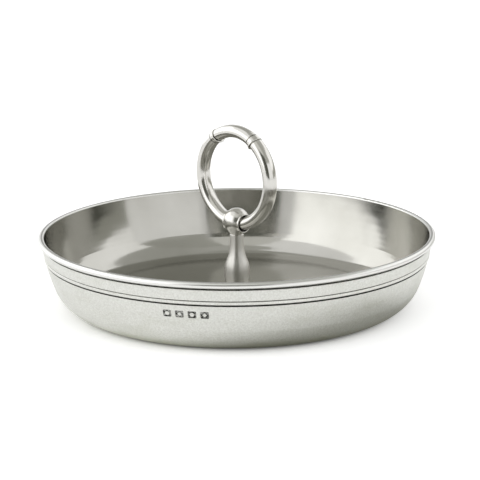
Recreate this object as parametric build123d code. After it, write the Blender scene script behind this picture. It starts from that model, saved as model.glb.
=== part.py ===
from build123d import *
import os
from math import acos, asin, atan2, cos, degrees, hypot, pi, radians, sin, sqrt

# Round pewter serving dish with a ring handle on a post in its middle.
# Lengths are millimetres and angles degrees. The dish stands on the plane z = 0, its middle is
# at the origin and +Z is up. The handle ring stands in the plane of X and Z, and it swings about
# the bore of the post's head, which runs along X.

# Dish
RIM_DIAMETER = 250.0        # across the outside of the lip
DISH_HEIGHT = 47.2          # from the table to the top of the lip
DISH_WALL = 2.1             # thickness of the wall
FLOOR_THICKNESS = 2.8       # thickness of the floor inside the foot
FOOT_RECESS = 1.0           # the underside is turned back this far inside the foot
FOOT_LAND = 6.0             # width of the flat ring that the dish stands on
FOOT_ROUND = 24.3           # outer radius where the wall turns in to the foot
FLOOR_ROUND = 21.0          # inner radius where the wall turns in to the floor
WALL_LEAN_TOP = 9.0         # lean of the wall under the lip
WALL_LEAN_FOOT = 21.0       # lean of the wall where it turns in to the foot

# Lip
LIP_HEIGHT = 4.6            # from the top of the lip down to its groove
LIP_OVERHANG = 2.1          # the lip stands out this far past the wall under it
LIP_ROUND_OUT = 1.9         # outer top edge
LIP_ROUND_IN = 1.0          # inner top edge

# Turned lines round the outside, measured down from the top of the lip
DEEP_GROOVE_WIDTH = 1.0
DEEP_GROOVE_DEPTH = 0.6
FINE_GROOVE_WIDTH = 0.6
FINE_GROOVE_DEPTH = 0.35
FINE_GROOVE_DROP = 11.9
LOW_GROOVE_DROP = 14.7
BEAD_SWELL = 0.3            # the band between the two lower lines swells out this far

# Row of square punches on the wall, each with a plain dot or lozenge left standing in it
PUNCH_COUNT = 4
PUNCH_DROP = 20.7           # from the top of the lip to the middle of the row
PUNCH_TURN = -59.4          # angle of the middle of the row, counted from +X
PUNCH_PITCH = 7.5           # along the wall
PUNCH_WIDTH = 5.0
PUNCH_HEIGHT = 4.6
PUNCH_DEPTH = 0.3
PUNCH_CORNER = 0.7
PUNCH_FIGURE = 1.3          # radius of the dot and half the width of the lozenge

# Post
POST_HEIGHT = 41.4          # from the floor to the joint under the head
NECK_RADIUS = 4.35
BULB_RADIUS = 8.25
BULB_RISE = 17.5            # from the floor to the fullest place of the post
BULB_TAPER = 0.35           # share of the bulb's swell left half-way up to the neck
NECK_DROP = 4.6             # from the joint down to where the neck starts to swell
WAIST_RADIUS = 6.6          # between the bulb and the post's foot
WAIST_RISE = 3.0            # from the floor to the waist
POST_FOOT_RADIUS = 9.2
POST_FOOT_THICKNESS = 1.5
WAIST_COVE = 0.6            # cove between the post's foot and its waist
JOINT_BEVEL = 0.35          # both edges at the joint are broken, which draws the dark line

# Ring handle
RING_RADIUS = 29.4          # to the middle of the rod
ROD_RADIAL = 4.05           # half the rod's thickness, away from the ring's centre
ROD_AXIAL = 4.85            # half the rod's width, across the ring's plane
RING_TURN = 0.6             # the ring is turned this far round in its own plane
GRIP_HALF_ANGLE = 33.4      # from the top of the ring to the middle of either collar
COLLAR_WIDTH = 3.3          # along the rod
COLLAR_PROUD = 0.2          # the collar stands out this far from the rod
RIM_BEAD_WIDTH = 1.2        # rounded bead at one end of each collar
RIM_BEAD_PROUD = 0.45       # the bead stands out this far from the collar
RIM_BEAD_SHIFT = 0.35       # and sits this far nearer to the ring's centre
COLLAR_LINE = 0.6           # open line between a collar and the rod on either side
COLLAR_EDGE = 0.2           # rounding of the collar's edges
SPIGOT_STEP = 1.1           # the rod's ends are turned down this far inside the collars
SPIGOT_FIT = 0.06           # between a spigot and its collar
BUTT_GAP = 0.04             # between the two rod ends, inside the collar
DOWEL_RADIUS = 1.5
DOWEL_LENGTH = 8.0
DOWEL_FIT = 0.05

# Head of the post, bored for the ring
RING_DROP = 0.65            # the rod's middle lies this far under the bore's axis
BORE_CLEARANCE = 0.35       # between the rod and the bore
BORE_FLOOR = 2.5            # metal between the bore and the joint
BALL_WALL = 3.15            # metal between the bore and the outside of the ball
BALL_LIFT = 0.7             # the ball's centre is this far above the bore's axis
BOSS_WALL = 0.8             # width of the raised lip round each mouth of the bore
BOSS_PROUD = 0.75           # the lip's top stands out this far from the ball
SHANK_RADIUS = 2.3          # the head's shank, screwed into the post
SHANK_LENGTH = 9.0
THREAD_FIT = 0.06           # between a plain-drawn thread and its hole
HOLE_SPARE = 0.8            # a blind hole is this much deeper than what it takes

# Fixing under the floor
SEAL_THICKNESS = 0.5
SEAL_INSET = 0.6            # the seal is this much smaller than the post's foot
SCREW_RADIUS = 2.0
SCREW_HEAD_RADIUS = 3.8
SCREW_HEAD_HEIGHT = 1.8
SCREW_REACH = 10.0          # length of the screw inside the post
SCREW_SUNK = 0.2            # the head lies this far inside the underside
SCREW_HEAD_FIT = 0.08       # between the head and its countersink
SCREW_HOLE_FIT = 0.2        # between the screw and the hole in the floor
SOCKET_RADIUS = 1.45        # corners of the six-sided socket
SOCKET_DEPTH = 1.1

OVERRUN = 2.0               # cutting shapes run this far past what they cut

# Heights and radii that follow
rim_radius = RIM_DIAMETER / 2
wall_top_z = DISH_HEIGHT - LIP_HEIGHT
wall_top_radius = rim_radius - LIP_OVERHANG
floor_z = FOOT_RECESS + FLOOR_THICKNESS
post_z = floor_z + SEAL_THICKNESS
joint_z = floor_z + POST_HEIGHT
bore_radius = max(ROD_AXIAL, ROD_RADIAL + RING_DROP) + BORE_CLEARANCE
boss_radius = bore_radius + BOSS_WALL
ball_radius = bore_radius + BALL_WALL
boss_reach = sqrt(ball_radius ** 2 - (boss_radius - BALL_LIFT) ** 2) + BOSS_PROUD
bore_z = joint_z + BORE_FLOOR + bore_radius
ball_z = bore_z + BALL_LIFT
ring_z = bore_z - RING_DROP + RING_RADIUS
post_foot_top = post_z + POST_FOOT_THICKNESS

# The wall is one wide arc, tangent to the round of the foot
wall_foot_z = FOOT_ROUND * (1 - sin(radians(WALL_LEAN_FOOT)))
wall_arc = (wall_top_z - wall_foot_z) / (sin(radians(WALL_LEAN_FOOT)) - sin(radians(WALL_LEAN_TOP)))
wall_centre = (
    wall_top_radius - wall_arc * cos(radians(WALL_LEAN_TOP)),
    wall_top_z + wall_arc * sin(radians(WALL_LEAN_TOP)),
)
base_radius = wall_centre[0] + (wall_arc - FOOT_ROUND) * cos(radians(WALL_LEAN_FOOT))


def wall_radius(height):
    """Outer radius of the wall at a height."""
    return wall_centre[0] + sqrt(wall_arc ** 2 - (wall_centre[1] - height) ** 2)


def on_circle(centre, radius, angle):
    """Point (r, z) on a circle, the angle counted from the outward direction."""
    return centre[0] + radius * cos(radians(angle)), centre[1] + radius * sin(radians(angle))


def line(start, end):
    """Straight edge in the plane of X and Z, between two (r, z) points."""
    return Line((start[0], 0, start[1]), (end[0], 0, end[1]))


def arc(centre, radius, start, end):
    """Edge along a circle in the plane of X and Z, between two angles."""
    points = [on_circle(centre, radius, angle) for angle in (start, (start + end) / 2, end)]
    return ThreePointArc(*[(r, 0, z) for r, z in points])


def turned(edges, axis=Axis.Z):
    """Solid turned about an axis from the edges of its half section."""
    return revolve(Face(Wire(edges)), axis)


def turned_outline(points, axis=Axis.Z):
    """Solid turned about an axis from the corners of its half section."""
    return turned([line(a, b) for a, b in zip(points, points[1:] + points[:1])], axis)


def groove(drop, width, depth):
    """Ring with a V section that cuts a line into the wall."""
    height = DISH_HEIGHT - drop
    radius = wall_radius(height)
    half_mouth = width / 2 * (depth + OVERRUN) / depth
    return turned_outline([
        (radius - depth, height),
        (radius + OVERRUN, height - half_mouth),
        (radius + OVERRUN, height + half_mouth),
    ])


def wall_bead():
    """Band with a gently swelling face, between the two lower lines."""
    top = DISH_HEIGHT - FINE_GROOVE_DROP
    bottom = DISH_HEIGHT - LOW_GROOVE_DROP
    middle = (top + bottom) / 2
    root = DISH_WALL / 2
    face = ThreePointArc(
        (wall_radius(bottom), 0, bottom),
        (wall_radius(middle) + BEAD_SWELL, 0, middle),
        (wall_radius(top), 0, top),
    )
    back = [
        line((wall_radius(top), top), (wall_radius(top) - root, top)),
        line((wall_radius(top) - root, top), (wall_radius(bottom) - root, bottom)),
        line((wall_radius(bottom) - root, bottom), (wall_radius(bottom), bottom)),
    ]
    return turned([face] + back)


def punch(place):
    """Sunk square in the wall with a raised dot or lozenge, at a place in the row."""
    height = DISH_HEIGHT - PUNCH_DROP
    radius = wall_radius(height)
    from_middle = (place - (PUNCH_COUNT - 1) / 2) * PUNCH_PITCH
    turn = radians(PUNCH_TURN) + from_middle / radius
    lean = asin((wall_centre[1] - height) / wall_arc)
    outward = Vector(cos(lean) * cos(turn), cos(lean) * sin(turn), -sin(lean))
    surface = Vector(radius * cos(turn), radius * sin(turn), height)
    floor = Plane(
        origin=surface - outward * PUNCH_DEPTH,
        x_dir=(-sin(turn), cos(turn), 0),
        z_dir=outward,
    )
    figure = RegularPolygon(PUNCH_FIGURE, 4) if place % 2 else Circle(PUNCH_FIGURE)
    sunk = RectangleRounded(PUNCH_WIDTH, PUNCH_HEIGHT, PUNCH_CORNER) - figure
    return extrude(floor * sunk, PUNCH_DEPTH + OVERRUN)


def screw_seat():
    """Countersunk hole in the floor for the screw under the post."""
    head_z = FOOT_RECESS + SCREW_SUNK
    mouth = SCREW_HEAD_RADIUS + SCREW_HEAD_FIT
    hole = SCREW_RADIUS + SCREW_HOLE_FIT
    return turned_outline([
        (0, -OVERRUN),
        (mouth, -OVERRUN),
        (mouth, head_z),
        (hole, head_z + SCREW_HEAD_HEIGHT + SCREW_HEAD_FIT),
        (hole, floor_z + OVERRUN),
        (0, floor_z + OVERRUN),
    ])


def make_dish():
    """Dish with its lip, its turned lines, its punches and its recessed underside."""
    lip_z = DISH_HEIGHT - LIP_ROUND_OUT
    under_lip = lip_z - wall_top_z
    lip_arc = (LIP_OVERHANG ** 2 + under_lip ** 2) / (2 * LIP_OVERHANG)
    lip_angle = degrees(asin(under_lip / lip_arc))
    if lip_arc < LIP_OVERHANG:
        lip_angle = 180 - lip_angle
    inner_arc = wall_arc - DISH_WALL
    inner_lip_z = DISH_HEIGHT - LIP_ROUND_IN
    inner_lip_angle = degrees(asin((inner_lip_z - wall_centre[1]) / inner_arc))
    inner_lip = on_circle(wall_centre, inner_arc, inner_lip_angle)
    round_z = floor_z + FLOOR_ROUND
    round_reach = sqrt((inner_arc - FLOOR_ROUND) ** 2 - (wall_centre[1] - round_z) ** 2)
    floor_centre = (wall_centre[0] + round_reach, round_z)
    floor_angle = degrees(atan2(round_z - wall_centre[1], round_reach))
    land_radius = base_radius - FOOT_LAND
    foot_centre = (base_radius, FOOT_ROUND)
    edges = [
        line((0, FOOT_RECESS), (land_radius - FOOT_RECESS, FOOT_RECESS)),
        line((land_radius - FOOT_RECESS, FOOT_RECESS), (land_radius, 0)),
        line((land_radius, 0), (base_radius, 0)),
        arc(foot_centre, FOOT_ROUND, -90, -WALL_LEAN_FOOT),
        arc(wall_centre, wall_arc, -WALL_LEAN_FOOT, -WALL_LEAN_TOP),
        arc((rim_radius - lip_arc, lip_z), lip_arc, -lip_angle, 0),
        arc((rim_radius - LIP_ROUND_OUT, lip_z), LIP_ROUND_OUT, 0, 90),
        line((rim_radius - LIP_ROUND_OUT, DISH_HEIGHT), (inner_lip[0] + LIP_ROUND_IN, DISH_HEIGHT)),
        arc((inner_lip[0] + LIP_ROUND_IN, inner_lip_z), LIP_ROUND_IN, 90, 180),
        arc(wall_centre, inner_arc, inner_lip_angle, floor_angle),
        arc(floor_centre, FLOOR_ROUND, floor_angle, -90),
        line((floor_centre[0], floor_z), (0, floor_z)),
        line((0, floor_z), (0, FOOT_RECESS)),
    ]
    dish = turned(edges) + wall_bead()
    dish -= groove(LIP_HEIGHT, DEEP_GROOVE_WIDTH, DEEP_GROOVE_DEPTH)
    dish -= groove(FINE_GROOVE_DROP, FINE_GROOVE_WIDTH, FINE_GROOVE_DEPTH)
    dish -= groove(LOW_GROOVE_DROP, DEEP_GROOVE_WIDTH, DEEP_GROOVE_DEPTH)
    for place in range(PUNCH_COUNT):
        dish -= punch(place)
    return dish - screw_seat()


def make_post():
    """Baluster post: a foot, a waist, a bulb and a slim neck, bored at both ends."""
    edge = POST_FOOT_THICKNESS / 2
    waist_z = floor_z + WAIST_RISE
    bulb_z = floor_z + BULB_RISE
    neck_z = joint_z - NECK_DROP
    cove_radius = WAIST_RADIUS + WAIST_COVE
    cove_z = post_foot_top + WAIST_COVE
    half_radius = NECK_RADIUS + BULB_TAPER * (BULB_RADIUS - NECK_RADIUS)
    half_way = (half_radius, 0, (bulb_z + neck_z) / 2)
    upright = (0, 0, 1)
    edges = [
        line((0, post_z), (POST_FOOT_RADIUS - edge, post_z)),
        arc((POST_FOOT_RADIUS - edge, post_z + edge), edge, -90, 90),
        line((POST_FOOT_RADIUS - edge, post_foot_top), (cove_radius, post_foot_top)),
        arc((cove_radius, cove_z), WAIST_COVE, 270, 180),
        line((WAIST_RADIUS, cove_z), (WAIST_RADIUS, waist_z)),
        Spline((WAIST_RADIUS, 0, waist_z), (BULB_RADIUS, 0, bulb_z), tangents=(upright, upright)),
        Spline(
            (BULB_RADIUS, 0, bulb_z), half_way, (NECK_RADIUS, 0, neck_z),
            tangents=(upright, upright),
        ),
        line((NECK_RADIUS, neck_z), (NECK_RADIUS, joint_z - JOINT_BEVEL)),
        line((NECK_RADIUS, joint_z - JOINT_BEVEL), (NECK_RADIUS - JOINT_BEVEL, joint_z)),
        line((NECK_RADIUS - JOINT_BEVEL, joint_z), (0, joint_z)),
        line((0, joint_z), (0, post_z)),
    ]
    screw_hole = turned_outline([
        (0, post_z - OVERRUN),
        (SCREW_RADIUS + THREAD_FIT, post_z - OVERRUN),
        (SCREW_RADIUS + THREAD_FIT, post_z + SCREW_REACH + HOLE_SPARE),
        (0, post_z + SCREW_REACH + HOLE_SPARE),
    ])
    shank_hole = turned_outline([
        (0, joint_z - SHANK_LENGTH - HOLE_SPARE),
        (SHANK_RADIUS + THREAD_FIT, joint_z - SHANK_LENGTH - HOLE_SPARE),
        (SHANK_RADIUS + THREAD_FIT, joint_z + OVERRUN),
        (0, joint_z + OVERRUN),
    ])
    return turned(edges) - screw_hole - shank_hole


def make_head():
    """Ball on a short cone and a threaded shank, with a lipped bore for the ring."""
    # The cone's side is tangent to the ball
    drop = ball_z - joint_z - JOINT_BEVEL
    reach = hypot(NECK_RADIUS, drop)
    cone_angle = degrees(acos(ball_radius / reach) - atan2(drop, NECK_RADIUS))
    ball = (0, ball_z)
    side = on_circle(ball, ball_radius, cone_angle)
    shank_z = joint_z - SHANK_LENGTH
    body = turned([
        arc(ball, ball_radius, 90, cone_angle),
        line(side, (NECK_RADIUS, joint_z + JOINT_BEVEL)),
        line((NECK_RADIUS, joint_z + JOINT_BEVEL), (NECK_RADIUS - JOINT_BEVEL, joint_z)),
        line((NECK_RADIUS - JOINT_BEVEL, joint_z), (SHANK_RADIUS, joint_z)),
        line((SHANK_RADIUS, joint_z), (SHANK_RADIUS, shank_z)),
        line((SHANK_RADIUS, shank_z), (0, shank_z)),
        line((0, shank_z), (0, ball_z + ball_radius)),
    ])
    # A tube with fully rounded ends lines the bore and stands out as a lip at both mouths
    tube_middle = bore_radius + BOSS_WALL / 2
    across = Plane(origin=(0, 0, bore_z), z_dir=(1, 0, 0))
    room = across * Cylinder(tube_middle, 2 * (boss_reach + OVERRUN))
    lip = BOSS_WALL / 2
    lip_x = boss_reach - lip
    tube = turned([
        line((-lip_x, bore_z + bore_radius), (lip_x, bore_z + bore_radius)),
        arc((lip_x, bore_z + tube_middle), lip, -90, 90),
        line((lip_x, bore_z + boss_radius), (-lip_x, bore_z + boss_radius)),
        arc((-lip_x, bore_z + tube_middle), lip, 90, 270),
    ], Axis((0, 0, bore_z), (1, 0, 0)))
    return body - room + tube


def make_seal():
    """Thin washer that seals the hole in the floor under the post."""
    inner = SCREW_RADIUS + SCREW_HOLE_FIT
    outer = POST_FOOT_RADIUS - SEAL_INSET
    return turned_outline([(inner, floor_z), (outer, floor_z), (outer, post_z), (inner, post_z)])


def make_screw():
    """Countersunk screw that draws the post down on to the floor."""
    head_z = FOOT_RECESS + SCREW_SUNK
    tip_z = post_z + SCREW_REACH
    screw = turned_outline([
        (0, head_z),
        (SCREW_HEAD_RADIUS, head_z),
        (SCREW_RADIUS, head_z + SCREW_HEAD_HEIGHT),
        (SCREW_RADIUS, tip_z),
        (0, tip_z),
    ])
    socket = extrude(Pos(0, 0, head_z) * RegularPolygon(SOCKET_RADIUS, 6), SOCKET_DEPTH)
    return screw - socket


# Angles round the ring are counted from +X towards +Z
ring_axis = Axis((0, 0, ring_z), (0, -1, 0))
grip_start = 90 + RING_TURN - GRIP_HALF_ANGLE
grip_end = 90 + RING_TURN + GRIP_HALF_ANGLE
collar_half = degrees(COLLAR_WIDTH / 2 / RING_RADIUS)
line_angle = degrees(COLLAR_LINE / RING_RADIUS)
butt_half = degrees(BUTT_GAP / 2 / RING_RADIUS)


def rod_plane(angle):
    """Plane across the rod: x away from the ring's centre, y across the ring's plane."""
    outward = Vector(cos(radians(angle)), 0, sin(radians(angle)))
    along = (-sin(radians(angle)), 0, cos(radians(angle)))
    return Plane(origin=Vector(0, 0, ring_z) + outward * RING_RADIUS, x_dir=outward, z_dir=along)


def rod(start, end, grow=0, shift=0):
    """Stretch of oval rod round the ring, made thicker by grow and moved inward by shift."""
    section = rod_plane(start) * Pos(-shift, 0) * Ellipse(ROD_RADIAL + grow, ROD_AXIAL + grow)
    return revolve(section, ring_axis, end - start)


def dowel_shape(angle, fit=0):
    """Straight dowel across the butt joint at an angle, made larger by a fit."""
    return rod_plane(angle) * Cylinder(DOWEL_RADIUS + fit, DOWEL_LENGTH + 2 * fit)


def make_ring_arc(start, end):
    """Piece of the ring between two collars, with a spigot in each and half a dowel hole."""
    shoulder = collar_half + line_angle
    piece = rod(start + shoulder, end - shoulder)
    piece += rod(start + butt_half, end - butt_half, grow=-SPIGOT_STEP)
    return piece - dowel_shape(start, DOWEL_FIT) - dowel_shape(end, DOWEL_FIT)


def make_collar(angle):
    """Collar over a butt joint, with a rounded bead at its clockwise end."""
    start = angle - collar_half
    bead_end = start + degrees(RIM_BEAD_WIDTH / RING_RADIUS)
    bead = rod(start, bead_end, grow=COLLAR_PROUD + RIM_BEAD_PROUD, shift=RIM_BEAD_SHIFT)
    bead = fillet(bead.edges(), RIM_BEAD_WIDTH / 2 - COLLAR_EDGE)
    sleeve = rod(start, angle + collar_half, grow=COLLAR_PROUD)
    sleeve = fillet(sleeve.edges(), COLLAR_EDGE)
    hole = rod(start - collar_half, angle + 2 * collar_half, grow=SPIGOT_FIT - SPIGOT_STEP)
    return sleeve + bead - hole


pieces = {
    "bowl": make_dish(),
    "post": make_post(),
    "head": make_head(),
    "post_seal": make_seal(),
    "post_screw": make_screw(),
    "ring_grip_arc": make_ring_arc(grip_start, grip_end),
    "ring_lower_arc": make_ring_arc(grip_end, grip_start + 360),
    "collar_right": make_collar(grip_start),
    "collar_left": make_collar(grip_end),
    "dowel_right": dowel_shape(grip_start),
    "dowel_left": dowel_shape(grip_end),
}

os.makedirs("parts", exist_ok=True)
for name, piece in pieces.items():
    export_step(piece, f"parts/{name}.step")


def rod_bottom(swing):
    """Lowest height of the far side of the ring when it is swung over by an angle."""
    lean = radians(swing)
    reach = ring_z - bore_z + RING_RADIUS
    return bore_z + reach * cos(lean) - hypot(ROD_RADIAL * cos(lean), ROD_AXIAL * sin(lean))


free_swing = max((angle for angle in range(181) if rod_bottom(angle) > floor_z), default=0)
print(f"foot radius {base_radius:.2f}, wall arc {wall_arc:.1f}")
print(f"bore height {bore_z:.2f}, ball height {ball_z:.2f}, ring height {ring_z:.2f}")
print(f"boss reach {boss_reach:.2f}, overall height {ring_z + RING_RADIUS + ROD_RADIAL:.2f}")
print(f"the ring swings {free_swing} degrees either way before it meets the floor")
print(f"finger gap {2 * (RING_RADIUS - ROD_RADIAL):.1f} across, rod length {2 * pi * RING_RADIUS:.1f}")
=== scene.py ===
"""Dresses the round pewter serving dish with its ring handle, and lights it for its photograph.

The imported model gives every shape. This script gives each piece the finish of the real
one, and adds the floor, the studio and the camera. Lengths are metres unless a name
ends in mm, and angles are degrees.
"""

import logging
import math
from dataclasses import dataclass
from enum import Enum

import bpy
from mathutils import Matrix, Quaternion, Vector

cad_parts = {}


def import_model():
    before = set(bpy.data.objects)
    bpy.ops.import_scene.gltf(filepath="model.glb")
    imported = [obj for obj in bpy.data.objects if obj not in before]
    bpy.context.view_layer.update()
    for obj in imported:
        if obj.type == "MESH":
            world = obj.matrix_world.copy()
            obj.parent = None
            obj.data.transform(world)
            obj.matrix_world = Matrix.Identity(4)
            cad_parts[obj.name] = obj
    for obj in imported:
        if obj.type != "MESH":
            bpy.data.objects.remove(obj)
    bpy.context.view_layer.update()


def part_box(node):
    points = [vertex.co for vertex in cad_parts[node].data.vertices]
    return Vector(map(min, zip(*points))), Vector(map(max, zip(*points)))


LOG = logging.getLogger("serving_dish")
MM_PER_METRE = 1000.0
IMAGE_SIDE = 480  # pixels
WHITE = "#FFFFFF"
NOISE_RANGE = (0.3, 0.7)  # nearly all of a noise lies in it
ACROSS = 0.25  # a quarter turn, from along the brush's lines to across them

# What feeds a node's input: a socket, or a node, whose output in use is then meant
Source = bpy.types.Node | bpy.types.NodeSocket
Inputs = dict[int | str, object]


def linear(hex_colour: str) -> tuple[float, float, float, float]:
    """Turns an sRGB colour into the linear values that the shaders take.

    Args:
        hex_colour: The colour as #RRGGBB.

    Returns:
        Red, green and blue as linear values, and 1 for alpha.
    """
    channels = [int(hex_colour[i : i + 2], 16) / 255 for i in (1, 3, 5)]
    curved = [c / 12.92 if c <= 0.04045 else ((c + 0.055) / 1.055) ** 2.4 for c in channels]
    return (*curved, 1.0)


def in_use(
    sockets: bpy.types.bpy_prop_collection, name: str | None = None
) -> bpy.types.NodeSocket:
    """Finds the first of a node's sockets that its settings leave in use.

    Args:
        sockets: The node's inputs or its outputs.
        name: The socket's name, or None for any name.

    Returns:
        The socket.
    """
    return next(s for s in sockets if s.enabled and name in (None, s.name))


def add_node(
    tree: bpy.types.NodeTree,
    kind: str,
    inputs: Inputs | None = None,
    **settings: object,
) -> bpy.types.Node:
    """Adds a node to a tree with its settings, values and links.

    Args:
        tree: The node tree that gets the node.
        kind: The node's type name without its ShaderNode prefix.
        inputs: Each input's name or number, with its value or what feeds it.
        **settings: Properties of the node and their values.

    Returns:
        The new node.
    """
    node = tree.nodes.new(f"ShaderNode{kind}")
    for key, value in settings.items():
        setattr(node, key, value)
    for key, value in (inputs or {}).items():
        socket = node.inputs[key] if isinstance(key, int) else in_use(node.inputs, key)
        if isinstance(value, bpy.types.Node):
            value = in_use(value.outputs)
        if isinstance(value, bpy.types.NodeSocket):
            tree.links.new(value, socket)
        else:
            socket.default_value = value
    return node


def new_tree(name: str) -> tuple[bpy.types.Material, bpy.types.NodeTree]:
    """Makes an empty material.

    Args:
        name: The material's name.

    Returns:
        The material and its node tree, with no nodes in it.
    """
    material = bpy.data.materials.new(name)
    material.use_nodes = True
    material.node_tree.nodes.clear()
    return material, material.node_tree


def place_on(tree: bpy.types.NodeTree) -> Source:
    """Finds the place on the surface.

    Args:
        tree: The material's node tree.

    Returns:
        The place in mm, in the object's own frame.
    """
    place = add_node(tree, "TexCoord").outputs["Object"]
    return add_node(tree, "VectorMath", {"Vector": place, "Scale": MM_PER_METRE}, operation="SCALE")


def direction(azimuth: float, elevation: float) -> Vector:
    """Unit vector from the object towards a place round it, as the frame counts angles."""
    a, e = math.radians(azimuth), math.radians(elevation)
    return Vector((math.sin(a) * math.cos(e), -math.cos(a) * math.cos(e), math.sin(e)))


@dataclass(frozen=True)
class Pattern:
    """An uneven pattern in a surface: the size of its patches, and how many finer layers."""

    size_mm: float
    layers: float = 2.0

    def inputs(self, place: Source) -> Inputs:
        """Returns what a noise node takes to draw the pattern at a place in mm."""
        return {"Vector": place, "Scale": 1 / self.size_mm, "Detail": self.layers}


class Polish(Enum):
    """How a pewter surface was finished, and the roughness that this gives."""

    BUFFED = 0.16
    HANDLED = 0.24
    BRUSHED = 0.37


@dataclass(frozen=True)
class Pewter:
    """Cast pewter, a tin alloy, worked by hand after casting.

    Buffing leaves soft waves and faint smears in it, so its reflections wander a little
    and are never as sharp as in chrome. The cloth's real scratches are too fine to show,
    so they are drawn coarser.
    """

    name: str
    polish: Polish
    turned: float = 0.0
    colour: str = "#D5D4D0"
    smear_colour: str = "#C6C4BE"
    smear: Pattern = Pattern(14.0, 3.0)
    wave: Pattern = Pattern(9.0, 1.0)
    wave_depth_mm: float = 0.05
    scratch: Pattern = Pattern(0.6)
    scratch_depth_mm: float = 0.004
    roughness_spread: float = 0.08

    def material(self) -> bpy.types.Material:
        """Makes the pewter, brushed round its axis as far as it is turned.

        Returns:
            The material.
        """
        pewter, tree = new_tree(self.name)
        place = place_on(tree)
        smear = add_node(tree, "TexNoise", self.smear.inputs(place))
        waves = add_node(tree, "Bump", {
            "Distance": self.wave_depth_mm / MM_PER_METRE,
            "Height": add_node(tree, "TexNoise", self.wave.inputs(place)),
        })
        scratches = add_node(tree, "Bump", {
            "Distance": self.scratch_depth_mm / MM_PER_METRE,
            "Height": add_node(tree, "TexNoise", self.scratch.inputs(place)),
            "Normal": waves,
        })
        surface: Inputs = {
            "Base Color": add_node(tree, "Mix", {
                "Factor": smear, "A": linear(self.smear_colour), "B": linear(self.colour),
            }, data_type="RGBA"),
            "Metallic": 1.0,
            "Roughness": add_node(tree, "MapRange", {
                "Value": smear,
                "From Min": NOISE_RANGE[0],
                "From Max": NOISE_RANGE[1],
                "To Min": self.polish.value + self.roughness_spread / 2,
                "To Max": self.polish.value - self.roughness_spread / 2,
            }),
            "Normal": scratches,
        }
        if self.turned:
            surface |= {
                "Tangent": add_node(tree, "Tangent", direction_type="RADIAL", axis="Z"),
                "Anisotropic": self.turned,
                "Anisotropic Rotation": ACROSS,
            }
        shader = add_node(tree, "BsdfPrincipled", surface)
        add_node(tree, "OutputMaterial", {"Surface": shader})
        return pewter


@dataclass(frozen=True)
class DishPoint:
    """What the dish's material knows of a point on the dish, with lengths in mm.

    The radius and the outward direction count from the dish's axis, and the height from
    the table.
    """

    tree: bpy.types.NodeTree
    place: Source
    facing: Source
    outward: Source
    radius: Source
    height: Source

    @classmethod
    def of(cls, tree: bpy.types.NodeTree) -> "DishPoint":
        """Adds the nodes that find the point.

        Args:
            tree: The material's node tree.

        Returns:
            The point.
        """
        place = place_on(tree)
        axes = add_node(tree, "SeparateXYZ", {"Vector": place})
        flat = add_node(tree, "CombineXYZ", {"X": axes.outputs["X"], "Y": axes.outputs["Y"]})
        return cls(
            tree=tree,
            place=place,
            facing=add_node(tree, "TexCoord").outputs["Normal"],
            outward=add_node(tree, "VectorMath", {"Vector": flat}, operation="NORMALIZE"),
            radius=add_node(tree, "VectorMath", {"Vector": flat}, operation="LENGTH"),
            height=axes.outputs["Z"],
        )


@dataclass(frozen=True)
class DishZones:
    """The zones of the dish's finish. Each is 1 in its zone and 0 outside it.

    The lip is the outer side of the rounded edge, and the burnished zone takes in the top
    of its inner side too.
    """

    inside: Source
    lip: Source
    burnished: Source
    line: Source


@dataclass(frozen=True)
class LipRound:
    """The rounded lip's two arcs, burnished smooth.

    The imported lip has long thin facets, which break its reflections into teeth. The
    direction that the lip faces is worked out here from the arcs, so they run clean.
    """

    middle_z_mm: float
    upper_centre_mm: float
    upper_mm: float
    lower_centre_mm: float
    lower_mm: float
    crest_mm: float

    def normal(self, point: DishPoint) -> Source:
        """Works out the way that the lip faces.

        Args:
            point: The point on the dish.

        Returns:
            The normal.
        """
        tree = point.tree
        rise = add_node(tree, "Math", {0: point.height, 1: self.middle_z_mm}, operation="SUBTRACT")
        upper = add_node(tree, "Math", {0: rise, 1: 0.0}, operation="GREATER_THAN")
        facings = []
        for centre, size in (
            (self.lower_centre_mm, self.lower_mm),
            (self.upper_centre_mm, self.upper_mm),
        ):
            out = add_node(tree, "MapRange", {
                "Value": point.radius, "From Min": centre, "From Max": centre + size,
            })
            up = add_node(tree, "Math", {0: rise, 1: size}, operation="DIVIDE")
            facings.append((out, up))
        out, up = (
            add_node(tree, "MapRange", {"Value": upper, "To Min": low, "To Max": high})
            for low, high in zip(*facings)
        )
        sideways = add_node(tree, "VectorMath", {
            "Vector": point.outward, "Scale": out,
        }, operation="SCALE")
        faced = add_node(tree, "VectorMath", {
            0: sideways, 1: add_node(tree, "CombineXYZ", {"Z": up}),
        }, operation="ADD")
        return add_node(
            tree, "VectorTransform", {"Vector": faced},
            vector_type="NORMAL", convert_from="OBJECT", convert_to="WORLD",
        )


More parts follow.
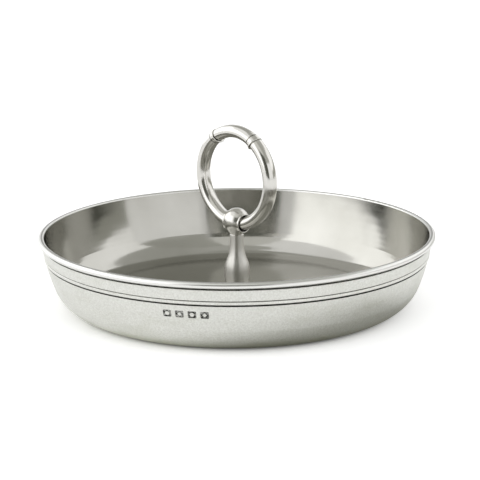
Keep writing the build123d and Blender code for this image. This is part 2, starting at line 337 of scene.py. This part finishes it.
@dataclass(frozen=True)
class ZonedPewter:
    """Pewter of the dish: satin outside, buffed inside and on the lip, dark in the lines.

    The outside keeps the fine grain of the casting under a satin brush, so it reflects the
    table as an even pale grey, in faint clouds drawn out along the brush. Towards the foot it
    darkens in a painted shade, which stands in for the shaded table that it mirrors there. Its
    real grain is too fine to show, so it is drawn coarser, and so are the
    lathe's rings inside. There the buffed wall mirrors the studio in broad patches. Polish
    and tarnish stay in the turned lines and in the punches, which makes them dark.
    """

    name: str

    # Where the finish changes
    lip_z_mm: float
    crown_z_mm: float
    lip_round: LipRound
    bead_z_mm: tuple[float, float]
    wall_centre_mm: tuple[float, float]
    wall_arc_mm: float
    foot_z_mm: float

    # How softly it changes there
    lip_edge_mm: tuple[float, float] = (-0.1, 0.3)
    crest_edge_mm: float = 0.1
    crown_edge_mm: float = 0.2
    facing_edge: float = 0.1

    # How deep under the wall a line begins to be dark and is fully so, low and at the top
    line_depth_mm: tuple[float, float] = (0.12, 0.24)
    top_line_depth_mm: tuple[float, float] = (0.26, 0.38)
    band_margins_mm: tuple[float, float] = (2.0, 1.5)
    punch_margins_mm: tuple[float, float] = (2.0, 1.0)

    # Colours, and where they wander
    satin: str = "#DADBD6"
    satin_speck: str = "#C8C8C2"
    # The foot's colour is a painted shade: over the lowest mm given below, the outside darkens to
    # it, for the shaded table that it mirrors there
    painted_foot_shade: str = "#A9AB98"
    lip: str = "#DBDBD8"
    buffed: str = "#BEBDB8"
    buffed_smear: str = "#A6A59E"
    tarnish: str = "#2B2A26"
    foot_shade_mm: float = 11.0
    cloud_strength: float = 0.9
    brush_stretch: float = 3.0
    stain_range: tuple[float, float] = (0.35, 0.65)
    punch_tarnish: tuple[float, float] = (0.4, 1.2)

    # Roughness
    satin_roughness: float = 0.42
    buffed_roughness: float = 0.14
    buffed_spread: float = 0.3
    lip_roughness: float = 0.28
    bead_roughness: float = 0.3
    tarnish_roughness: float = 0.6

    # Patterns and relief
    speck: Pattern = Pattern(1.0, 3.0)
    stain: Pattern = Pattern(1.6)
    cloud: Pattern = Pattern(20.0, 5.0)
    smear: Pattern = Pattern(38.0, 4.0)
    dull_patch: Pattern = Pattern(20.0, 3.0)
    grain: Pattern = Pattern(0.9)
    grain_depth_mm: float = 0.02
    lathe_mm: float = 1.1
    lathe_depth_mm: float = 0.0015

    def material(self) -> bpy.types.Material:
        """Makes the dish's pewter.

        Returns:
            The material.
        """
        pewter, tree = new_tree(self.name)
        point = DishPoint.of(tree)
        zones = self.zones(point)
        shader = add_node(tree, "BsdfPrincipled", {
            "Base Color": self.colour(point, zones),
            "Metallic": 1.0,
            "Roughness": self.roughness(point, zones),
            "Normal": add_node(tree, "Mix", {
                "Factor": zones.lip,
                "A": self.relief(point, zones),
                "B": self.lip_round.normal(point),
            }, data_type="VECTOR"),
        })
        add_node(tree, "OutputMaterial", {"Surface": shader})
        return pewter

    def zones(self, point: DishPoint) -> DishZones:
        """Divides the dish into the zones of its finish.

        Args:
            point: The point on the dish.

        Returns:
            The zones that hold the point.
        """
        tree = point.tree
        inside = self.inside(point)
        high = add_node(tree, "MapRange", {
            "Value": point.height,
            "From Min": self.lip_z_mm + self.lip_edge_mm[0],
            "From Max": self.lip_z_mm + self.lip_edge_mm[1],
        })
        outer = add_node(tree, "MapRange", {
            "Value": point.radius,
            "From Min": self.lip_round.crest_mm - self.crest_edge_mm,
            "From Max": self.lip_round.crest_mm + self.crest_edge_mm,
        })
        lip = add_node(tree, "Math", {0: high, 1: outer}, operation="MULTIPLY")
        crown = add_node(tree, "MapRange", {
            "Value": point.height,
            "From Min": self.crown_z_mm - self.crown_edge_mm,
            "From Max": self.crown_z_mm,
        })
        return DishZones(
            inside=inside,
            lip=lip,
            burnished=add_node(tree, "Math", {0: lip, 1: crown}, operation="MAXIMUM"),
            line=self.line(point, inside),
        )

    def inside(self, point: DishPoint) -> Source:
        """Tells the inside of the dish from the outside by the way the surface faces.

        Args:
            point: The point on the dish.

        Returns:
            1 inside the dish and 0 outside it.
        """
        tree = point.tree
        # The inner side of the wall faces the axis, and the floor faces up
        faces_out = add_node(tree, "VectorMath", {
            0: point.facing, 1: point.outward,
        }, operation="DOT_PRODUCT")
        faces_up = add_node(tree, "SeparateXYZ", {"Vector": point.facing}).outputs["Z"]
        low = add_node(tree, "Math", {0: point.height, 1: self.foot_z_mm}, operation="LESS_THAN")
        floor = add_node(tree, "Math", {0: faces_up, 1: low}, operation="MULTIPLY")
        faces_in = add_node(tree, "Math", {0: floor, 1: faces_out}, operation="SUBTRACT")
        return add_node(tree, "MapRange", {
            "Value": faces_in, "From Min": -self.facing_edge, "From Max": self.facing_edge,
        }, interpolation_type="SMOOTHSTEP")

    def line(self, point: DishPoint, inside: Source) -> Source:
        """Finds the turned lines and the punches, which lie under the wall's surface.

        Args:
            point: The point on the dish.
            inside: 1 inside the dish and 0 outside it.

        Returns:
            1 in a line or a punch and 0 outside it.
        """
        tree = point.tree
        aside, above = (
            add_node(tree, "Math", {0: length, 1: centre}, operation="SUBTRACT")
            for length, centre in zip((point.radius, point.height), self.wall_centre_mm)
        )
        from_centre = add_node(tree, "VectorMath", {
            "Vector": add_node(tree, "CombineXYZ", {"X": aside, "Y": above}),
        }, operation="LENGTH")
        # The line under the lip counts as dark from deeper on than the two below it
        top = add_node(tree, "MapRange", {
            "Value": point.height,
            "From Min": self.bead_z_mm[1] + self.band_margins_mm[0],
            "From Max": self.lip_z_mm - self.band_margins_mm[1],
        })
        starts, ends = (
            add_node(tree, "MapRange", {
                "Value": top, "To Min": self.wall_arc_mm - low, "To Max": self.wall_arc_mm - high,
            })
            for low, high in zip(self.line_depth_mm, self.top_line_depth_mm)
        )
        sunk = add_node(tree, "MapRange", {
            "Value": from_centre, "From Min": starts, "From Max": ends,
        })
        outside = add_node(tree, "Math", {0: 1.0, 1: inside}, operation="SUBTRACT")
        wall = add_node(tree, "Math", {
            0: point.height, 1: self.foot_z_mm,
        }, operation="GREATER_THAN")
        stain = add_node(tree, "MapRange", {
            "Value": add_node(tree, "TexNoise", self.stain.inputs(point.place)),
            "From Min": self.stain_range[0],
            "From Max": self.stain_range[1],
            "To Min": self.punch_tarnish[0],
            "To Max": self.punch_tarnish[1],
        })
        # The punches lie under the bead, and their tarnish is worn away in spots
        tarnished = add_node(tree, "MapRange", {
            "Value": point.height,
            "From Min": self.bead_z_mm[0] - self.punch_margins_mm[0],
            "From Max": self.bead_z_mm[0] - self.punch_margins_mm[1],
            "To Min": stain,
            "To Max": 1.0,
        })
        line = sunk
        for limit in (outside, wall, tarnished):
            line = add_node(tree, "Math", {0: line, 1: limit}, operation="MULTIPLY")
        return line

    def colour(self, point: DishPoint, zones: DishZones) -> Source:
        """Lays the dish's colours over each other.

        Args:
            point: The point on the dish.
            zones: The zones that hold the point.

        Returns:
            The colour.
        """
        tree = point.tree
        speck = add_node(tree, "MapRange", {
            "Value": add_node(tree, "TexNoise", self.speck.inputs(point.place)),
            "From Min": NOISE_RANGE[0],
            "From Max": NOISE_RANGE[1],
        })
        # Painted shade: the outside darkens towards the foot, where it mirrors the shaded table,
        # and faint random clouds wander over it
        low = add_node(tree, "MapRange", {
            "Value": point.height, "From Min": self.foot_shade_mm, "From Max": 0.0,
        }, interpolation_type="SMOOTHSTEP")
        brushed = add_node(tree, "VectorMath", {
            0: point.place, 1: (1.0, 1.0, self.brush_stretch),
        }, operation="MULTIPLY")
        clouded = add_node(tree, "Math", {
            0: add_node(tree, "TexNoise", self.cloud.inputs(brushed)),
            1: self.cloud_strength,
            2: -self.cloud_strength / 2,
        }, operation="MULTIPLY_ADD")
        foot_shade_and_clouds = add_node(tree, "Math", {0: low, 1: clouded}, operation="ADD", use_clamp=True)
        buffed = add_node(tree, "Mix", {
            "Factor": add_node(tree, "TexNoise", self.smear.inputs(point.place)),
            "A": linear(self.buffed_smear),
            "B": linear(self.buffed),
        }, data_type="RGBA")
        colour = linear(self.satin_speck)
        for cover, over in (
            (speck, linear(self.satin)),
            (foot_shade_and_clouds, linear(self.painted_foot_shade)),
            (zones.inside, buffed),
            (zones.burnished, linear(self.lip)),
            (zones.line, linear(self.tarnish)),
        ):
            colour = add_node(tree, "Mix", {
                "Factor": cover, "A": colour, "B": over,
            }, data_type="RGBA")
        return colour

    def roughness(self, point: DishPoint, zones: DishZones) -> Source:
        """Lays the dish's satin, rubbed bead, buffing and dull lines over each other.

        Args:
            point: The point on the dish.
            zones: The zones that hold the point.

        Returns:
            The roughness.
        """
        tree = point.tree
        over_line, under_line = (
            add_node(tree, "Math", {0: point.height, 1: height}, operation=operation)
            for height, operation in zip(self.bead_z_mm, ("GREATER_THAN", "LESS_THAN"))
        )
        bead = add_node(tree, "Math", {0: over_line, 1: under_line}, operation="MULTIPLY")
        buffed = add_node(tree, "MapRange", {
            "Value": add_node(tree, "TexNoise", self.dull_patch.inputs(point.place)),
            "From Min": NOISE_RANGE[0],
            "From Max": NOISE_RANGE[1],
            "To Min": self.buffed_roughness * (1 + self.buffed_spread),
            "To Max": self.buffed_roughness * (1 - self.buffed_spread),
        })
        roughness = self.satin_roughness
        for cover, over in (
            (bead, self.bead_roughness),
            (zones.inside, buffed),
            (zones.burnished, self.lip_roughness),
            (zones.line, self.tarnish_roughness),
        ):
            roughness = add_node(tree, "MapRange", {
                "Value": cover, "To Min": roughness, "To Max": over,
            })
        return roughness

    def relief(self, point: DishPoint, zones: DishZones) -> Source:
        """Draws the grain outside and the lathe's rings inside, and leaves the lip smooth.

        Args:
            point: The point on the dish.
            zones: The zones that hold the point.

        Returns:
            The normal.
        """
        tree = point.tree
        smooth = add_node(tree, "Math", {0: zones.inside, 1: zones.lip}, operation="MAXIMUM")
        grained = add_node(tree, "Bump", {
            "Strength": add_node(tree, "Math", {0: 1.0, 1: smooth}, operation="SUBTRACT"),
            "Distance": self.grain_depth_mm / MM_PER_METRE,
            "Height": add_node(tree, "TexNoise", self.grain.inputs(point.place)),
        })
        turned = add_node(tree, "Math", {
            0: zones.inside, 1: zones.lip,
        }, operation="SUBTRACT", use_clamp=True)
        turn = add_node(tree, "Math", {
            0: point.radius, 1: math.tau / self.lathe_mm,
        }, operation="MULTIPLY")
        return add_node(tree, "Bump", {
            "Strength": turned,
            "Distance": self.lathe_depth_mm / MM_PER_METRE,
            "Height": add_node(tree, "Math", {0: turn}, operation="SINE"),
            "Normal": grained,
        })


@dataclass(frozen=True)
class ZincSteel:
    """Zinc-plated steel of the screw and the dowels, cold-headed and tumbled.

    It is greyer and cooler than the pewter and has a fine even dullness, which is drawn
    coarser than it is.
    """

    name: str
    colour: str = "#B9BDC1"
    roughness: float = 0.32
    roughness_spread: float = 0.16
    grain: Pattern = Pattern(0.5)

    def material(self) -> bpy.types.Material:
        """Makes the steel.

        Returns:
            The material.
        """
        steel, tree = new_tree(self.name)
        shader = add_node(tree, "BsdfPrincipled", {
            "Base Color": linear(self.colour),
            "Metallic": 1.0,
            "Roughness": add_node(tree, "MapRange", {
                "Value": add_node(tree, "TexNoise", self.grain.inputs(place_on(tree))),
                "To Min": self.roughness - self.roughness_spread / 2,
                "To Max": self.roughness + self.roughness_spread / 2,
            }),
        })
        add_node(tree, "OutputMaterial", {"Surface": shader})
        return steel


@dataclass(frozen=True)
class SealRubber:
    """Black nitrile rubber, moulded flat, with a faint bloom on it that greys the black."""

    name: str
    colour: str = "#1B1B1C"
    bloom_colour: str = "#2E2E30"
    roughness: float = 0.62
    bloom: Pattern = Pattern(3.0)

    def material(self) -> bpy.types.Material:
        """Makes the rubber.

        Returns:
            The material.
        """
        rubber, tree = new_tree(self.name)
        colour = add_node(tree, "Mix", {
            "Factor": add_node(tree, "TexNoise", self.bloom.inputs(place_on(tree))),
            "A": linear(self.colour),
            "B": linear(self.bloom_colour),
        }, data_type="RGBA")
        shader = add_node(tree, "BsdfPrincipled", {
            "Base Color": colour, "Roughness": self.roughness,
        })
        add_node(tree, "OutputMaterial", {"Surface": shader})
        return rubber


def dress(node: str, material: bpy.types.Material) -> None:
    """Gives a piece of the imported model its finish.

    Args:
        node: The piece's name.
        material: The finish.
    """
    piece = bpy.data.objects[node]
    piece.data.materials.clear()
    piece.data.materials.append(material)
    LOG.info("%s: %s", node, material.name)


@dataclass
class Dish:
    """The turned dish. Its sizes say where the finish changes on its one solid."""

    lip_height_mm: float = 4.6
    lip_overhang_mm: float = 2.1
    lip_round_mm: float = 1.9
    inner_round_mm: float = 1.0
    lip_crest_mm: float = 2.3
    foot_round_mm: float = 24.3
    lean_top: float = 9.0
    lean_foot: float = 21.0
    fine_line_drop_mm: float = 11.9
    low_line_drop_mm: float = 14.7

    def foot_z(self) -> float:
        """Works out the height in mm where the foot's round ends and the wall begins."""
        return self.foot_round_mm * (1 - math.sin(math.radians(self.lean_foot)))

    def wall(self, rim_mm: float, height_mm: float) -> tuple[tuple[float, float], float]:
        """Works out the wall's arc from the dish's size.

        Args:
            rim_mm: The lip's outer radius.
            height_mm: The dish's height.

        Returns:
            The arc's centre, as distance from the axis and height, and its radius.
        """
        top, foot = math.radians(self.lean_top), math.radians(self.lean_foot)
        top_z = height_mm - self.lip_height_mm
        arc = (top_z - self.foot_z()) / (math.sin(foot) - math.sin(top))
        radius = rim_mm - self.lip_overhang_mm - arc * math.cos(top)
        return (radius, top_z + arc * math.sin(top)), arc

    def lip_round(self, rim_mm: float, height_mm: float) -> LipRound:
        """Works out the lip's arcs from the dish's size.

        Args:
            rim_mm: The lip's outer radius.
            height_mm: The dish's height.

        Returns:
            The arcs of the lip.
        """
        under = self.lip_height_mm - self.lip_round_mm
        lower = (self.lip_overhang_mm**2 + under**2) / (2 * self.lip_overhang_mm)
        return LipRound(
            middle_z_mm=height_mm - self.lip_round_mm,
            upper_centre_mm=rim_mm - self.lip_round_mm,
            upper_mm=self.lip_round_mm,
            lower_centre_mm=rim_mm - lower,
            lower_mm=lower,
            crest_mm=rim_mm - self.lip_crest_mm,
        )

    def dress(self) -> None:
        """Gives the dish its zoned finish."""
        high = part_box("bowl")[1]
        rim_mm, height_mm = high.x * MM_PER_METRE, high.z * MM_PER_METRE
        centre, arc = self.wall(rim_mm, height_mm)
        finish = ZonedPewter(
            "zoned_pewter",
            lip_z_mm=height_mm - self.lip_height_mm,
            crown_z_mm=height_mm - self.inner_round_mm,
            lip_round=self.lip_round(rim_mm, height_mm),
            bead_z_mm=(height_mm - self.low_line_drop_mm, height_mm - self.fine_line_drop_mm),
            wall_centre_mm=centre,
            wall_arc_mm=arc,
            foot_z_mm=self.foot_z(),
        )
        dress("bowl", finish.material())


@dataclass
class HandlePost:
    """The post in the middle of the dish, with its head and what fixes it below."""

    post_polish: Polish = Polish.BRUSHED
    post_turned: float = 0.8
    head_polish: Polish = Polish.HANDLED

    def dress(self) -> None:
        """Gives the post, the head, the screw and the washer their finishes."""
        brushed = Pewter("brushed_pewter", self.post_polish, turned=self.post_turned)
        dress("post", brushed.material())
        dress("head", Pewter("buffed_pewter_head", self.head_polish).material())
        dress("post_screw", ZincSteel("plated_steel_screw").material())
        dress("post_seal", SealRubber("nitrile_rubber").material())


@dataclass
class HandleRing:
    """The ring: two arcs of oval rod with two beaded collars over their joints."""

    polish: Polish = Polish.BUFFED
    rods: tuple[str, ...] = ("ring_grip_arc", "ring_lower_arc")
    collars: tuple[str, ...] = ("collar_right", "collar_left")
    dowels: tuple[str, ...] = ("dowel_right", "dowel_left")

    def dress(self) -> None:
        """Gives the ring's pieces their finishes."""
        rod = Pewter("buffed_pewter_ring", self.polish).material()
        steel = ZincSteel("plated_steel_dowel").material()
        for node in self.rods + self.collars:
            dress(node, rod)
        for node in self.dowels:
            dress(node, steel)


def add_sheet(
    name: str,
    points: list[Vector],
    faces: list[tuple[int, ...]],
    material: bpy.types.Material,
) -> bpy.types.Object:
    """Adds a thin sheet of the studio to the scene.

    Args:
        name: The sheet's name.
        points: Its corners.
        faces: The numbers of each face's corners.
        material: Its finish.

    Returns:
        The sheet.
    """
    mesh = bpy.data.meshes.new(name)
    mesh.from_pydata(points, [], faces)
    mesh.materials.append(material)
    sheet = bpy.data.objects.new(name, mesh)
    bpy.context.scene.collection.objects.link(sheet)
    return sheet


def add_square(name: str, side: float, material: bpy.types.Material) -> bpy.types.Object:
    """Adds a square sheet that lies flat with its middle at the origin.

    Args:
        name: The square's name.
        side: The length of its sides.
        material: Its finish.

    Returns:
        The square.
    """
    half = side / 2
    corners = [Vector((x * half, y * half, 0)) for x, y in ((-1, -1), (1, -1), (1, 1), (-1, 1))]
    return add_sheet(name, corners, [(0, 1, 2, 3)], material)


@dataclass
class Lamp:
    """A soft square lamp for the table, which no metal mirrors.

    It is placed by its direction from the object, and its azimuth counts from the camera's
    side. Its light is how bright it makes a white table.
    """

    name: str
    azimuth: float
    elevation: float
    side: float
    light: float
    distance: float = 3.0

    def build(self, target: Vector, camera_azimuth: float) -> None:
        """Puts the lamp in the scene, aimed at a point.

        Args:
            target: The point that the lamp faces.
            camera_azimuth: The camera's azimuth in the frame.
        """
        lamp = bpy.data.lights.new(self.name, "AREA")
        lamp.shape = "SQUARE"
        lamp.size = self.side
        # A white table that faces the lamp is as bright as power / (pi * distance) ** 2, and
        # one that lies flat is less bright by the slant of the light
        slant = math.sin(math.radians(self.elevation))
        lamp.energy = self.light * (math.pi * self.distance) ** 2 / slant
        place = bpy.data.objects.new(self.name, lamp)
        away = direction(camera_azimuth + self.azimuth, self.elevation)
        place.location = target + away * self.distance
        place.rotation_mode = "QUATERNION"
        place.rotation_quaternion = away.to_track_quat("Z", "Y")
        place.visible_glossy = False
        bpy.context.scene.collection.objects.link(place)


@dataclass
class Panel:
    """A curved cloth or card of the studio, which only polished metal mirrors.

    Its angles are seen from the object, and azimuths count from the camera's side.
    """

    name: str
    azimuths: tuple[float, float]
    elevations: tuple[float, float]
    colour: str
    strength: float = 1.0
    radius: float = 4.5
    step: float = 5.0

    def build(self, target: Vector, camera_azimuth: float) -> None:
        """Makes the panel as a part of a sphere round the object.

        Args:
            target: The sphere's centre.
            camera_azimuth: The camera's azimuth in the frame.
        """
        across = self.stops(self.azimuths)
        upward = self.stops(self.elevations)
        points = [
            target + direction(camera_azimuth + azimuth, elevation) * self.radius
            for elevation in upward
            for azimuth in across
        ]
        row = len(across)
        faces = [
            (i + j * row, i + 1 + j * row, i + 1 + (j + 1) * row, i + (j + 1) * row)
            for j in range(len(upward) - 1)
            for i in range(row - 1)
        ]
        cloth, tree = new_tree(self.name)
        shader = add_node(tree, "Emission", {
            "Color": linear(self.colour), "Strength": self.strength,
        })
        add_node(tree, "OutputMaterial", {"Surface": shader})
        panel = add_sheet(self.name, points, faces, cloth)
        panel.visible_camera = panel.visible_diffuse = panel.visible_shadow = False

    def stops(self, ends: tuple[float, float]) -> list[float]:
        """Divides a range of angles into even steps.

        Args:
            ends: The first and the last angle.

        Returns:
            The angles, with both ends.
        """
        count = max(1, round((ends[1] - ends[0]) / self.step))
        return [ends[0] + (ends[1] - ends[0]) * i / count for i in range(count + 1)]


@dataclass
class Camera:
    """The photograph's camera, as fitted to the ellipses of the lip, the lines and the ring."""

    azimuth: float = 45.0
    elevation: float = 14.22
    roll: float = 0.55
    distance: float = 1.2
    target_z: float = 0.0411
    focal_pixels: float = 1897.5
    axis_column: float = 236.8
    sensor_mm: float = 36.0

    def build(self) -> None:
        """Makes the camera and sets it as the scene's."""
        data = bpy.data.cameras.new("photograph")
        data.sensor_width = self.sensor_mm
        data.lens = self.focal_pixels / IMAGE_SIDE * self.sensor_mm
        camera = bpy.data.objects.new("photograph", data)
        away = direction(self.azimuth, self.elevation)
        turn = math.radians(self.azimuth)
        right = Vector((math.cos(turn), math.sin(turn), 0))
        aside = (IMAGE_SIDE / 2 - self.axis_column) * self.distance / self.focal_pixels
        camera.location = Vector((0, 0, self.target_z)) + right * aside + away * self.distance
        camera.rotation_mode = "QUATERNION"
        rolled = Quaternion((0, 0, 1), -math.radians(self.roll))
        camera.rotation_quaternion = away.to_track_quat("Z", "Y") @ rolled
        bpy.context.scene.collection.objects.link(camera)
        bpy.context.scene.camera = camera
        LOG.info("camera: %.1f mm lens at %.2f m", data.lens, self.distance)


@dataclass
class Studio:
    """White table and background, soft lamps, and the cloths that the metal mirrors.

    The right side of the table is shaded, but only where the metal mirrors it. Each pair of
    the shade's lengths says where it is clear and where it is full: on its near and its far
    side, along its own direction from the dish's axis, and round a spot aside of the axis.
    """

    camera_azimuth: float
    target_z: float = 0.04
    floor_side: float = 12.0
    floor_colour: str = "#F2F2F2"
    floor_glow: float = 0.38
    # The floor's glow fades out towards the dish between these radii, a painted shadow round its
    # foot
    glow_from_mm: float = 95.0
    glow_full_mm: float = 105.0
    ambient: float = 0.62

    shade_side: float = 0.8
    shade_lift: float = 0.0005
    shade_azimuth: float = 88.0
    shade_aside_mm: float = 30.0
    shade_from_mm: tuple[float, float] = (-72.0, 10.0)
    shade_to_mm: tuple[float, float] = (144.0, 104.0)
    shade_round_mm: tuple[float, float] = (140.0, 100.0)
    shade_colour: str = "#A4A49E"

    lamps: tuple[Lamp, ...] = (
        Lamp("left_lamp", azimuth=-45, elevation=40, side=2.6, light=0.15),
        Lamp("right_lamp", azimuth=45, elevation=40, side=2.6, light=0.15),
        Lamp("back_lamp", azimuth=-180, elevation=60, side=2.4, light=0.1),
    )

    # Each panel's azimuths, elevations, colour and strength
    panels: tuple[Panel, ...] = (
        Panel("left_window", (-150, -38), (2, 48), WHITE, 1.9),
        Panel("above_left_window", (-150, -38), (48, 78), WHITE, 1.2),
        Panel("camera_side", (-28, 20), (-2, 42), "#62645B"),
        Panel("above_camera", (-38, 22), (42, 78), "#F2F2EE"),
        Panel("right_window", (24, 74), (2, 30), WHITE, 1.2),
        Panel("above_right_window", (22, 74), (30, 78), "#C2C2BC"),
        Panel("right_wall", (74, 160), (-2, 12), "#B4B4AC"),
        Panel("right_backdrop", (74, 160), (12, 45), WHITE, 1.4),
        Panel("above_right_wall", (74, 160), (45, 78), "#CACAC5"),
        Panel("above_background", (160, 210), (28, 78), "#BBBBB5"),
        Panel("ceiling", (-180, 180), (78, 90), "#CECEC9"),
    )

    def build(self) -> None:
        """Makes the floor, the world, the lamps, the panels and the shade."""
        target = Vector((0, 0, self.target_z))
        self.build_floor()
        self.build_world()
        for lamp in self.lamps:
            lamp.build(target, self.camera_azimuth)
            LOG.info("lamp: %s", lamp.name)
        for panel in self.panels:
            panel.build(target, self.camera_azimuth)
            LOG.info("panel: %s", panel.name)
        self.build_shade()

    def white_for(self, tree: bpy.types.NodeTree) -> Source:
        """Picks out the rays that are to see the white background.

        Args:
            tree: The node tree that gets the nodes.

        Returns:
            1 for camera, glossy and transmission rays, and 0 for others.
        """
        path = add_node(tree, "LightPath")
        white = path.outputs["Is Camera Ray"]
        for ray in ("Is Glossy Ray", "Is Transmission Ray"):
            white = add_node(tree, "Math", {0: white, 1: path.outputs[ray]}, operation="MAXIMUM")
        return white

    def build_world(self) -> None:
        """Makes the world white to look at and a plain soft light otherwise."""
        world = bpy.data.worlds.new("studio")
        world.use_nodes = True
        tree = world.node_tree
        tree.nodes.clear()
        strength = add_node(tree, "MapRange", {
            "Value": self.white_for(tree), "To Min": self.ambient, "To Max": 1.0,
        })
        light = add_node(tree, "Background", {"Color": linear(WHITE), "Strength": strength})
        add_node(tree, "OutputWorld", {"Surface": light})
        bpy.context.scene.world = world

    def build_floor(self) -> None:
        """Makes the white floor, which keeps the dish's shadow from the lamps and the world, and
        deepens it with a painted shadow, as its glow fades out towards the dish.
        """
        table, tree = new_tree("white_table")
        away = add_node(tree, "VectorMath", {"Vector": place_on(tree)}, operation="LENGTH")
        # Painted shadow: the glow fades out towards the dish, so the table darkens round the foot,
        # both seen directly and mirrored in the wall
        clear = add_node(tree, "MapRange", {
            "Value": away,
            "From Min": self.glow_from_mm,
            "From Max": self.glow_full_mm,
            "To Max": self.floor_glow,
        }, interpolation_type="SMOOTHSTEP")
        strength = add_node(tree, "Math", {0: self.white_for(tree), 1: clear}, operation="MULTIPLY")
        shader = add_node(tree, "AddShader", {
            0: add_node(tree, "BsdfDiffuse", {"Color": linear(self.floor_colour)}),
            1: add_node(tree, "Emission", {"Strength": strength}),
        })
        add_node(tree, "OutputMaterial", {"Surface": shader})
        floor = add_square("floor", self.floor_side, table)

    def build_shade(self) -> None:
        """Lays the shaded side of the table, which the wall of the dish mirrors."""
        film, tree = new_tree("shaded_table")
        place = place_on(tree)
        side = direction(self.camera_azimuth + self.shade_azimuth, 0)
        along = add_node(tree, "VectorMath", {0: place, 1: side}, operation="DOT_PRODUCT")
        away = add_node(tree, "VectorMath", {
            0: place, 1: side * self.shade_aside_mm,
        }, operation="DISTANCE")
        from_side, to_side, from_spot = (
            add_node(tree, "MapRange", {
                "Value": distance, "From Min": clear, "From Max": full,
            }, interpolation_type="SMOOTHSTEP")
            for distance, (clear, full) in (
                (along, self.shade_from_mm),
                (along, self.shade_to_mm),
                (away, self.shade_round_mm),
            )
        )
        shaded = from_side
        for limit in (to_side, from_spot):
            shaded = add_node(tree, "Math", {0: shaded, 1: limit}, operation="MULTIPLY")
        tint = add_node(tree, "Mix", {
            "Factor": shaded, "A": linear(WHITE), "B": linear(self.shade_colour),
        }, data_type="RGBA")
        shader = add_node(tree, "BsdfTransparent", {"Color": tint})
        add_node(tree, "OutputMaterial", {"Surface": shader})
        shade = add_square("shaded_table", self.shade_side, film)
        shade.location.z = self.shade_lift
        shade.visible_camera = shade.visible_diffuse = shade.visible_shadow = False


def main() -> None:
    """Builds the scene in order."""
    logging.basicConfig(level=logging.INFO, format="%(name)s: %(message)s")
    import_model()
    bpy.context.scene.view_settings.view_transform = "Standard"
    camera = Camera()
    Dish().dress()
    HandlePost().dress()
    HandleRing().dress()
    Studio(camera.azimuth).build()
    camera.build()


if __name__ == "__main__":
    main()
